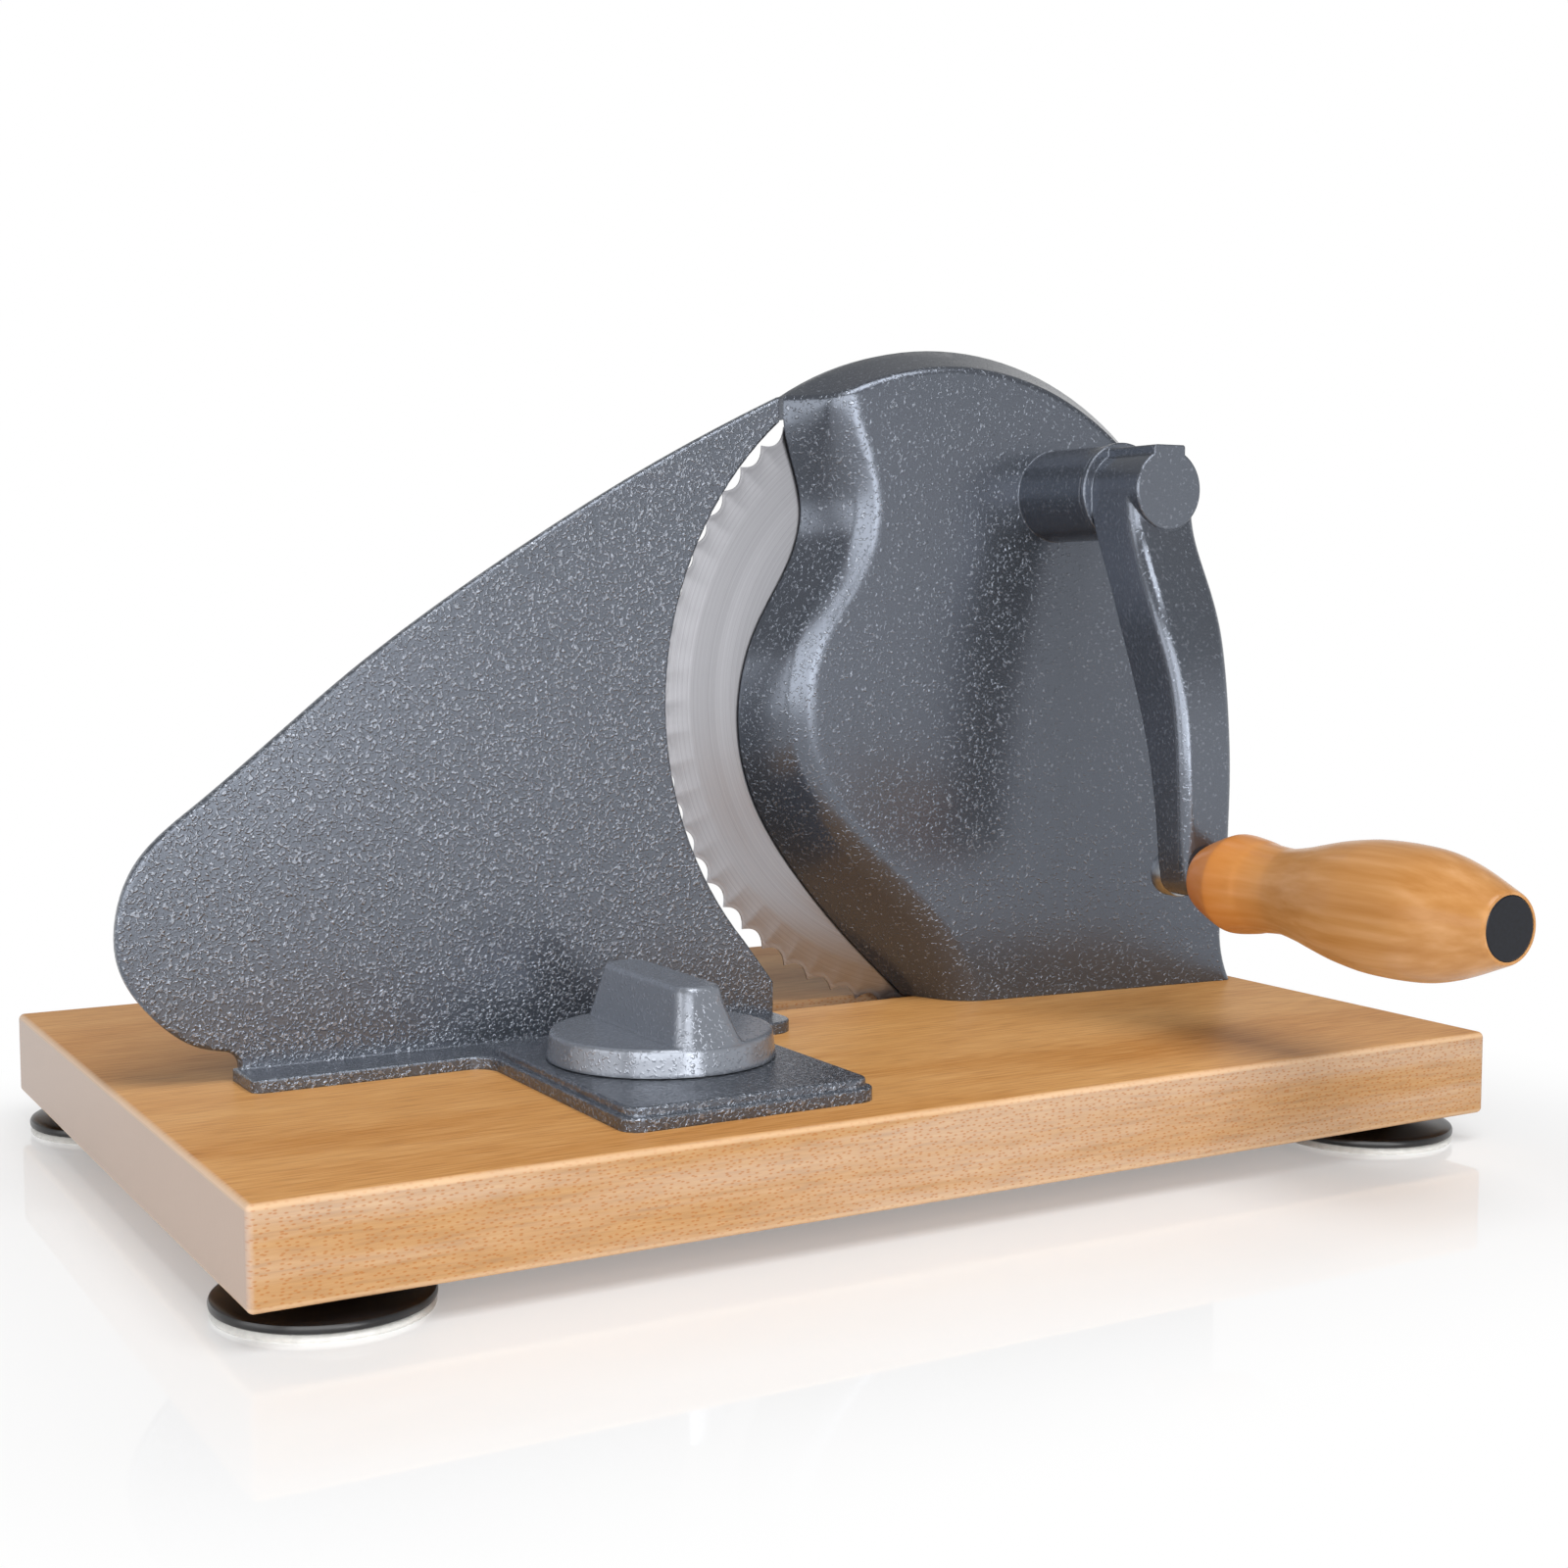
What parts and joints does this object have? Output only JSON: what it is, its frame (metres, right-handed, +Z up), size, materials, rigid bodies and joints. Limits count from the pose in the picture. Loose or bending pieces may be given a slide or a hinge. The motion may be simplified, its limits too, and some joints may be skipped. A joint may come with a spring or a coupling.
{
  "type": "hand-cranked bread slicer",
  "caption": "Hand-cranked bread slicer: geared round blade in a cast housing on a beech board, with a stop plate set by a knob and suction feet.",
  "frame": {"origin": "centre of the bounding box, at the height of the table that the suction feet stand on", "axes": "+X along the board from the stop plate to the blade, +Y from the crank side to the bread side, +Z up"},
  "size_m": [0.3592, 0.3055, 0.2258],
  "materials": {
    "board_beech": "oiled beech",
    "handle_beech": "varnished beech",
    "hammer_paint": "glossy grey-blue hammered paint",
    "blade_steel": "satin, brushed round",
    "shaft_steel": "ground",
    "gear_steel": "machined",
    "screw_steel": "turned",
    "zinc_steel": "zinc plated",
    "spindle_steel": "polished head",
    "bearing_bronze": "plain bearing",
    "gear_nylon": "natural",
    "key_nylon": "natural",
    "scroll_acetal": "black",
    "cap_plastic": "dark blue-black",
    "foot_black": "smooth, glossy",
    "cup_pale": "soft, pale"
  },
  "bodies": {
    "base": {"base_board": "board_beech", "housing_screws": "zinc_steel", "gear_housing": "hammer_paint", "crank_bush": "bearing_bronze", "blade_axle": "shaft_steel", "thrust_washer": "bearing_bronze", "blade_lock_screw": "screw_steel", "pivot_screw": "screw_steel", "pivot_nut": "zinc_steel", "foot_disc_front_left": "foot_black", "suction_cup_front_left": "cup_pale", "foot_disc_front_right": "foot_black", "suction_cup_front_right": "cup_pale", "foot_disc_back_left": "foot_black", "suction_cup_back_left": "cup_pale", "foot_disc_back_right": "foot_black", "suction_cup_back_right": "cup_pale"},
    "blade": {"slicing_blade": "blade_steel", "blade_gear": "gear_nylon", "blade_rivets": "zinc_steel", "hub_bush": "bearing_bronze"},
    "crank": {"crank_shaft": "shaft_steel", "drive_pinion": "gear_steel", "shaft_clip": "zinc_steel", "crank_arm": "hammer_paint", "hub_set_screw": "screw_steel", "handle_spindle": "spindle_steel", "spindle_washer": "zinc_steel", "spindle_nut": "zinc_steel"},
    "grip": {"handle_grip": "handle_beech", "handle_end_cap": "cap_plastic"},
    "fence": {"stop_plate": "hammer_paint", "follower_pin": "shaft_steel", "guide_keys": "key_nylon", "key_screws": "zinc_steel"},
    "knob": {"adjusting_knob": "hammer_paint", "scroll_disc": "scroll_acetal"}
  },
  "joints": [
    {"name": "crank_turn", "type": "hinge", "parent": "base", "child": "crank", "pos_m": [0.1011, 0.01805, 0.18201], "axis": [0, 1, 0], "continuous": true},
    {"name": "blade_turn", "type": "hinge", "parent": "base", "child": "blade", "pos_m": [0.0754, 0.04905, 0.1223], "axis": [0, 1, 0], "continuous": true},
    {"name": "handle_spin", "type": "hinge", "parent": "crank", "child": "grip", "pos_m": [0.1011, -0.08195, 0.0747], "axis": [0, 1, 0], "continuous": true},
    {"name": "knob_turn", "type": "hinge", "parent": "base", "child": "knob", "pos_m": [-0.0537, -0.01765, 0.041], "axis": [0, 0, 1], "range_deg": [-10, 290]},
    {"name": "fence_slide", "type": "slide", "parent": "base", "child": "fence", "axis": [0, 1, 0], "range_m": [-0.0006, 0.0174]}
  ],
  "couplings": [
    {"joint": "blade_turn", "follows": "crank_turn", "ratio": -0.44444},
    {"joint": "fence_slide", "follows": "knob_turn", "m_per_rad": 0.0034377}
  ]
}
